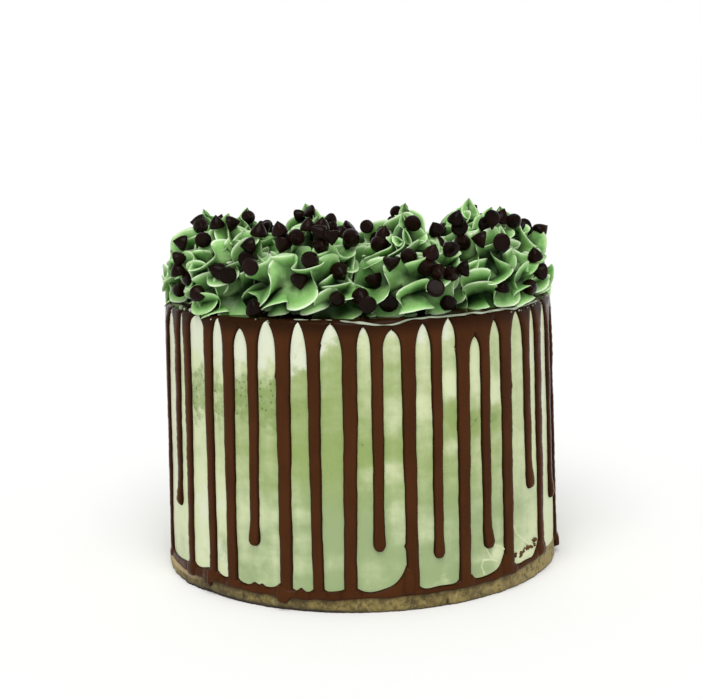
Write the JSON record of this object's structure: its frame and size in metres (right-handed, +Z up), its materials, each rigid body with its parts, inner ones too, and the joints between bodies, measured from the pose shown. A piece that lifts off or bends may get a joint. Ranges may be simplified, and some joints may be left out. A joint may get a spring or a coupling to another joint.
{
  "type": "layer cake",
  "caption": "Tall round mint chocolate chip layer cake with a chocolate drip over pale green buttercream and a ring of ruffled piped swirls dotted with chocolate chips.",
  "frame": {"origin": "centre of the underside of the cake's base layer, on the surface that it stands on", "axes": "+Z up through the middle of the cake, -Y towards the front of the picture, +X to the picture's right"},
  "size_m": [0.2212, 0.222, 0.1946],
  "materials": {
    "base": "matte khaki strip under the chocolate",
    "buttercream": "smooth matte buttercream, pale green marbled with white",
    "chocolate": "set poured chocolate with a soft sheen",
    "mint_swirl": "satin piped mint buttercream with dark chocolate chips"
  },
  "bodies": {
    "root": {"base_layer": "base", "cake_body": "buttercream", "ganache_drip": "chocolate", "swirl_1": "mint_swirl", "swirl_2": "mint_swirl", "swirl_3": "mint_swirl", "swirl_4": "mint_swirl", "swirl_5": "mint_swirl", "swirl_6": "mint_swirl", "swirl_7": "mint_swirl", "swirl_8": "mint_swirl", "swirl_9": "mint_swirl", "swirl_10": "mint_swirl"}
  },
  "joints": []
}
